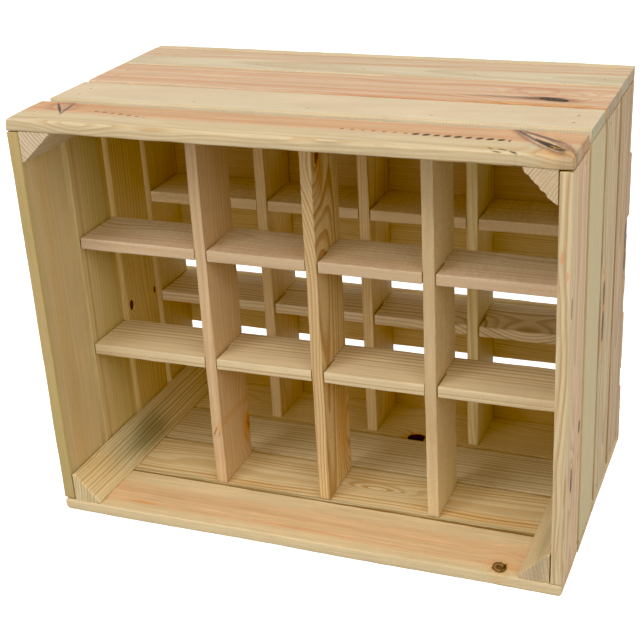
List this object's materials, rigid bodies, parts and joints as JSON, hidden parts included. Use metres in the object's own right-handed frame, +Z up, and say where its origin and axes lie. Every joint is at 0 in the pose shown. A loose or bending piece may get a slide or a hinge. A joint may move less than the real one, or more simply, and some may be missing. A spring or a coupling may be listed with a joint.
{
  "type": "wine rack",
  "caption": "Open-fronted pine crate on its side with a slotted grid of shelves and uprights front and back, for bottles lying down.",
  "frame": {"origin": "middle of the underside, on the surface that the rack stands on", "axes": "+X to the right as seen from the open front, +Y from the open front to the back, +Z up"},
  "size_m": [0.5, 0.288, 0.4],
  "materials": {
    "pine_board": "rough-sawn, unfinished",
    "pine_strip": "rough-sawn, unfinished",
    "pine_grid": "planed, unfinished",
    "nail_steel": "bright, slightly tarnished"
  },
  "bodies": {
    "root": {"top_board_1": "pine_board", "top_board_2": "pine_board", "top_board_3": "pine_board", "top_board_4": "pine_board", "bottom_board_1": "pine_board", "bottom_board_2": "pine_board", "bottom_board_3": "pine_board", "bottom_board_4": "pine_board", "left_board_1": "pine_board", "left_board_2": "pine_board", "left_board_3": "pine_board", "left_board_4": "pine_board", "right_board_1": "pine_board", "right_board_2": "pine_board", "right_board_3": "pine_board", "right_board_4": "pine_board", "back_board_1": "pine_board", "back_board_2": "pine_board", "back_board_3": "pine_board", "back_board_4": "pine_board", "back_board_5": "pine_board", "corner_strip_bottom_left": "pine_strip", "corner_strip_bottom_right": "pine_strip", "corner_strip_top_right": "pine_strip", "corner_strip_top_left": "pine_strip", "front_upright_1": "pine_grid", "front_upright_2": "pine_grid", "front_upright_3": "pine_grid", "front_shelf_lower": "pine_grid", "front_shelf_upper": "pine_grid", "rear_upright_1": "pine_grid", "rear_upright_2": "pine_grid", "rear_upright_3": "pine_grid", "rear_shelf_lower": "pine_grid", "rear_shelf_upper": "pine_grid", "nails_top": "nail_steel", "nails_bottom": "nail_steel", "nails_left": "nail_steel", "nails_right": "nail_steel", "nails_back": "nail_steel"}
  },
  "joints": []
}
